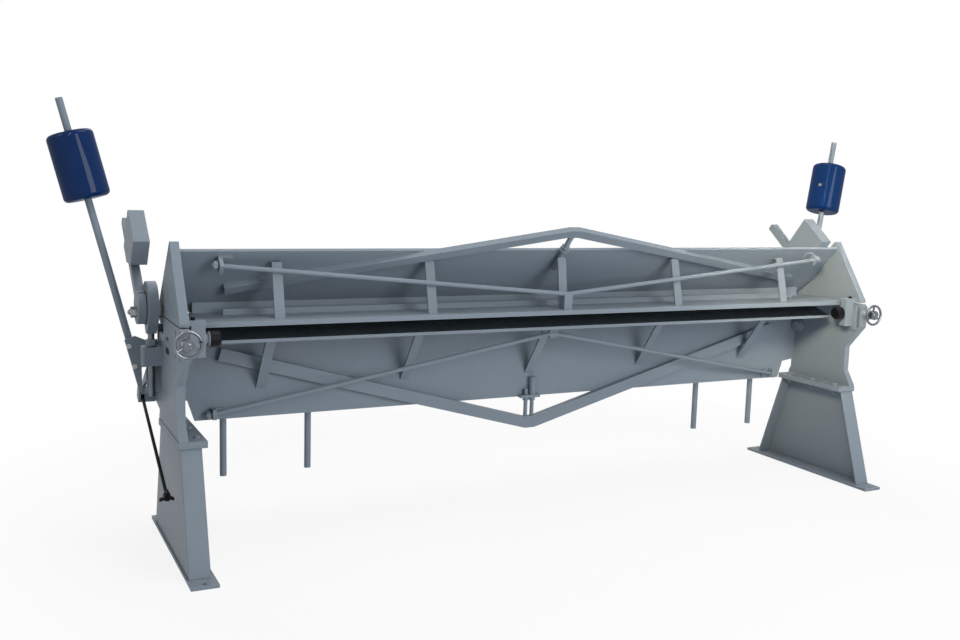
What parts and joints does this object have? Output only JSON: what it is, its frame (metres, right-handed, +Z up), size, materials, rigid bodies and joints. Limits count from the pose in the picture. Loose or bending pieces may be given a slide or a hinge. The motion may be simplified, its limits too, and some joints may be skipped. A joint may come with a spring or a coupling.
{
  "type": "sheet metal folder",
  "caption": "Hand-operated folding brake with truss-braced clamping leaf and bed, eccentric clamp levers, setback handwheels and a counterweighted swinging apron with an angle stop",
  "frame": {"origin": "on the floor, midway between the four anchor holes of the base plates", "axes": "+X to the right along the bend line, +Y towards the operator who swings the apron, +Z up; the picture looks from the rear left"},
  "size_m": [3.933, 0.9282, 1.6579],
  "materials": {
    "grey_paint": "slate blue-grey semi-gloss machine enamel",
    "bright_steel": "bare turned or milled steel",
    "dark_steel": "dark oiled bare steel",
    "chrome": "polished chrome plate",
    "blue_enamel": "navy gloss enamel on a steel weight",
    "black_plastic": "black moulded knob",
    "black_steel": "blackened steel rod"
  },
  "bodies": {
    "stand": {"base_plates": "grey_paint", "left_pedestal": "grey_paint", "right_pedestal": "grey_paint", "left_end_frame": "grey_paint", "right_end_frame": "grey_paint", "foot_bolts": "grey_paint", "bed_top_plate": "dark_steel", "bed_front_plate": "grey_paint", "bed_struts": "grey_paint", "bed_bow": "grey_paint", "bed_truss_rod": "grey_paint", "bed_rod_brackets": "grey_paint", "bed_truss_nuts": "grey_paint", "bed_jack": "grey_paint", "bed_jack_studs": "grey_paint", "apron_hinge_brackets": "grey_paint", "apron_hinge_pins": "bright_steel"},
    "left_swivel": {"left_clamp_block": "grey_paint"},
    "right_swivel": {"right_clamp_block": "grey_paint"},
    "carriage": {"slide_blocks": "grey_paint", "pivot_pins": "bright_steel"},
    "left_wheel": {"left_handwheel": "chrome", "left_setback_screw": "bright_steel"},
    "right_wheel": {"right_handwheel": "chrome", "right_setback_screw": "bright_steel"},
    "leaf": {"leaf_bottom_plate": "grey_paint", "leaf_front_plate": "grey_paint", "leaf_nose_bar": "grey_paint", "leaf_low_bar": "grey_paint", "leaf_struts": "grey_paint", "leaf_bow": "grey_paint", "leaf_truss_rod": "grey_paint", "leaf_rod_brackets": "grey_paint", "leaf_nuts": "grey_paint", "leaf_jack": "grey_paint", "left_leaf_end": "grey_paint", "right_leaf_end": "grey_paint", "pivot_lugs": "grey_paint", "lever_studs": "bright_steel"},
    "left_lock": {"left_lock_knob": "black_plastic"},
    "right_lock": {"right_lock_knob": "black_plastic"},
    "left_lever": {"left_clamp_lever": "grey_paint", "left_lever_weight": "grey_paint"},
    "right_lever": {"right_clamp_lever": "grey_paint", "right_lever_weight": "grey_paint"},
    "left_strap": {"left_strap": "grey_paint", "left_strap_stem": "dark_steel"},
    "right_strap": {"right_strap": "grey_paint", "right_strap_stem": "dark_steel"},
    "apron": {"apron_plate": "grey_paint", "apron_edge_bar": "bright_steel", "apron_ribs": "grey_paint", "apron_handles": "grey_paint", "apron_end_brackets": "grey_paint", "counterweight_arms": "grey_paint"},
    "left_weight": {"left_counterweight": "blue_enamel"},
    "right_weight": {"right_counterweight": "blue_enamel"},
    "stop_rod": {"stop_rod": "black_steel"},
    "stop_swivel": {"stop_swivel": "grey_paint"},
    "stop_knob": {"stop_knob": "black_plastic"}
  },
  "joints": [
    {"name": "left_wheel_turn", "type": "hinge", "parent": "stand", "child": "left_wheel", "pos_m": [-1.585, -0.3, 0.822], "axis": [0, 1, 0], "range_deg": [0, 1200]},
    {"name": "right_wheel_turn", "type": "hinge", "parent": "stand", "child": "right_wheel", "pos_m": [1.585, -0.3, 0.822], "axis": [0, 1, 0], "range_deg": [0, 1200]},
    {"name": "setback", "type": "slide", "parent": "stand", "child": "carriage", "axis": [0, -1, 0], "range_m": [0, 0.01]},
    {"name": "left_lever_swing", "type": "hinge", "parent": "leaf", "child": "left_lever", "pos_m": [-1.67, 0.153, 0.88], "axis": [1, 0, 0], "range_deg": [0, 100]},
    {"name": "right_lever_swing", "type": "hinge", "parent": "leaf", "child": "right_lever", "pos_m": [1.67, 0.153, 0.88], "axis": [1, 0, 0], "range_deg": [0, 100]},
    {"name": "leaf_lift", "type": "hinge", "parent": "carriage", "child": "leaf", "pos_m": [0, -0.19, 0.822], "axis": [1, 0, 0], "range_deg": [0, 5.36]},
    {"name": "left_strap_turn", "type": "hinge", "parent": "left_lever", "child": "left_strap", "pos_m": [-1.6348, 0.153, 0.905], "axis": [1, 0, 0], "range_deg": [-96.2, 0]},
    {"name": "left_block_swivel", "type": "hinge", "parent": "stand", "child": "left_swivel", "pos_m": [-1.6, 0.153, 0.715], "axis": [1, 0, 0], "range_deg": [0, 9.3]},
    {"name": "left_lock_turn", "type": "hinge", "parent": "carriage", "child": "left_lock", "pos_m": [-1.47, -0.19, 0.822], "axis": [1, 0, 0], "continuous": true},
    {"name": "right_strap_turn", "type": "hinge", "parent": "right_lever", "child": "right_strap", "pos_m": [1.6348, 0.153, 0.905], "axis": [1, 0, 0], "range_deg": [-96.2, 0]},
    {"name": "right_block_swivel", "type": "hinge", "parent": "stand", "child": "right_swivel", "pos_m": [1.6, 0.153, 0.715], "axis": [1, 0, 0], "range_deg": [0, 9.3]},
    {"name": "right_lock_turn", "type": "hinge", "parent": "carriage", "child": "right_lock", "pos_m": [1.47, -0.19, 0.822], "axis": [1, 0, 0], "continuous": true},
    {"name": "apron_swing", "type": "hinge", "parent": "stand", "child": "apron", "pos_m": [0, 0.196, 0.856], "axis": [1, 0, 0], "range_deg": [0, 110]},
    {"name": "left_weight_slide", "type": "slide", "parent": "apron", "child": "left_weight", "axis": [-0.2385, 0.0981, 0.9662], "range_m": [-0.15, 0.1]},
    {"name": "right_weight_slide", "type": "slide", "parent": "apron", "child": "right_weight", "axis": [0.2385, 0.0981, 0.9662], "range_m": [-0.15, 0.1]},
    {"name": "stop_rod_hook", "type": "hinge", "parent": "apron", "child": "stop_rod", "pos_m": [-1.65, 0.336, 0.556], "axis": [1, 0, 0], "range_deg": [-58.3, 0]},
    {"name": "stop_swivel_turn", "type": "hinge", "parent": "stand", "child": "stop_swivel", "pos_m": [-1.62, 0.29975, 0.53909], "axis": [1, 0, 0], "range_deg": [0, 52.3]},
    {"name": "stop_knob_slide", "type": "slide", "parent": "stop_rod", "child": "stop_knob", "axis": [0, 0.9063, 0.4226], "range_m": [0, 0.3]}
  ],
  "couplings": [
    {"joint": "left_wheel_turn", "follows": "setback", "rad_per_m": 2094.4},
    {"joint": "right_wheel_turn", "follows": "setback", "rad_per_m": 2094.4},
    {"joint": "right_lever_swing", "follows": "left_lever_swing", "ratio": 1},
    {"joint": "leaf_lift", "follows": "left_lever_swing", "ratio": 0.0535},
    {"joint": "left_strap_turn", "follows": "left_lever_swing", "ratio": -0.961},
    {"joint": "left_block_swivel", "follows": "left_lever_swing", "ratio": 0.0925},
    {"joint": "right_strap_turn", "follows": "left_lever_swing", "ratio": -0.961},
    {"joint": "right_block_swivel", "follows": "left_lever_swing", "ratio": 0.0925},
    {"joint": "stop_rod_hook", "follows": "apron_swing", "ratio": -0.5275},
    {"joint": "stop_swivel_turn", "follows": "apron_swing", "ratio": 0.4725}
  ]
}
